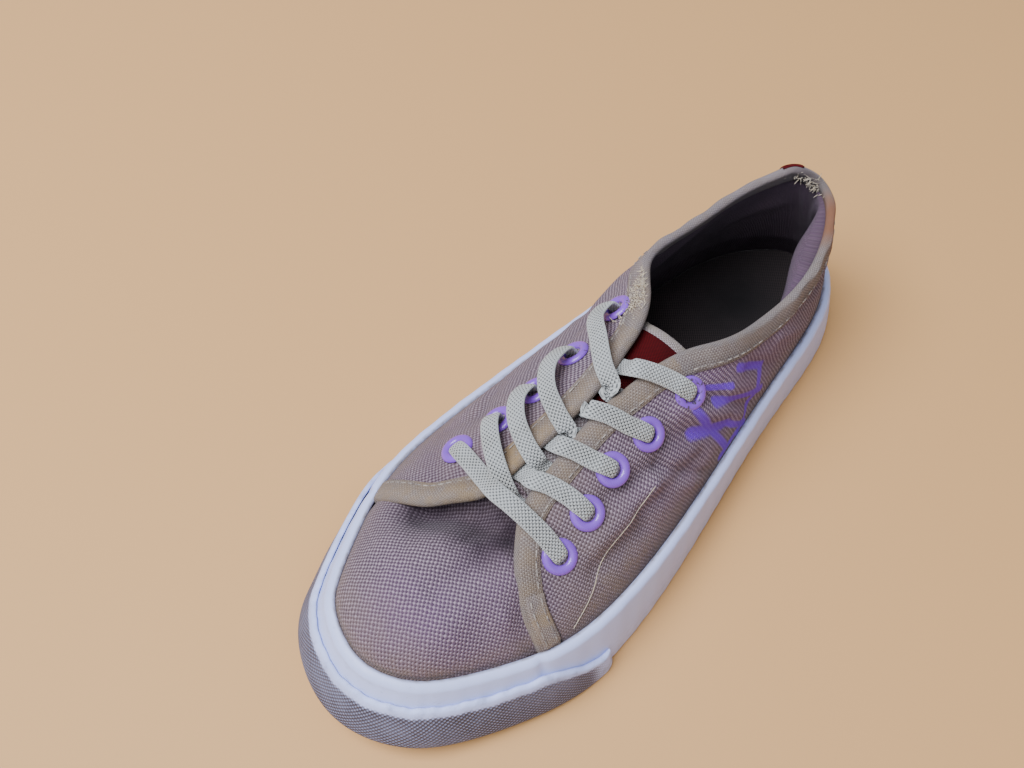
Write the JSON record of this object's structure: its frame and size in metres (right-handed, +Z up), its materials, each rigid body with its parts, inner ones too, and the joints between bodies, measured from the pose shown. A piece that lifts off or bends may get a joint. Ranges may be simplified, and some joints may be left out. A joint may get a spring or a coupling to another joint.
{
  "type": "canvas sneaker",
  "caption": "Low, worn canvas sneaker for a left foot, with a rubber band and toe bumper, an open collar, a tongue and flat elastic lacing through metal eyelets.",
  "frame": {"origin": "on the floor, at the middle of the shoe's length and width", "axes": "+X towards the toe, +Y towards the outer side of the left foot, +Z up"},
  "size_m": [0.225, 0.0912, 0.0589],
  "materials": {
    "outsole_rubber": "matt, dirty",
    "foxing_rubber": "satin, scuffed",
    "bumper_rubber": "textured, dirty",
    "lining": "matt cloth",
    "canvas": "faded canvas",
    "tongue_cloth": "faded canvas",
    "label_cloth": "woven label",
    "tab_cloth": "woven tab",
    "eyelet_enamel": "glossy enamel, worn",
    "elastic": "knitted elastic"
  },
  "bodies": {
    "root": {"outsole": "outsole_rubber", "foxing": "foxing_rubber", "toe_bumper": "bumper_rubber", "insole": "lining", "upper": "canvas", "tongue": "tongue_cloth", "tongue_label": "label_cloth", "heel_tab": "tab_cloth", "eyelet_lateral_1": "eyelet_enamel", "eyelet_lateral_2": "eyelet_enamel", "eyelet_lateral_3": "eyelet_enamel", "eyelet_lateral_4": "eyelet_enamel", "eyelet_lateral_5": "eyelet_enamel", "eyelet_medial_1": "eyelet_enamel", "eyelet_medial_2": "eyelet_enamel", "eyelet_medial_3": "eyelet_enamel", "eyelet_medial_4": "eyelet_enamel", "eyelet_medial_5": "eyelet_enamel", "lace": "elastic"}
  },
  "joints": []
}
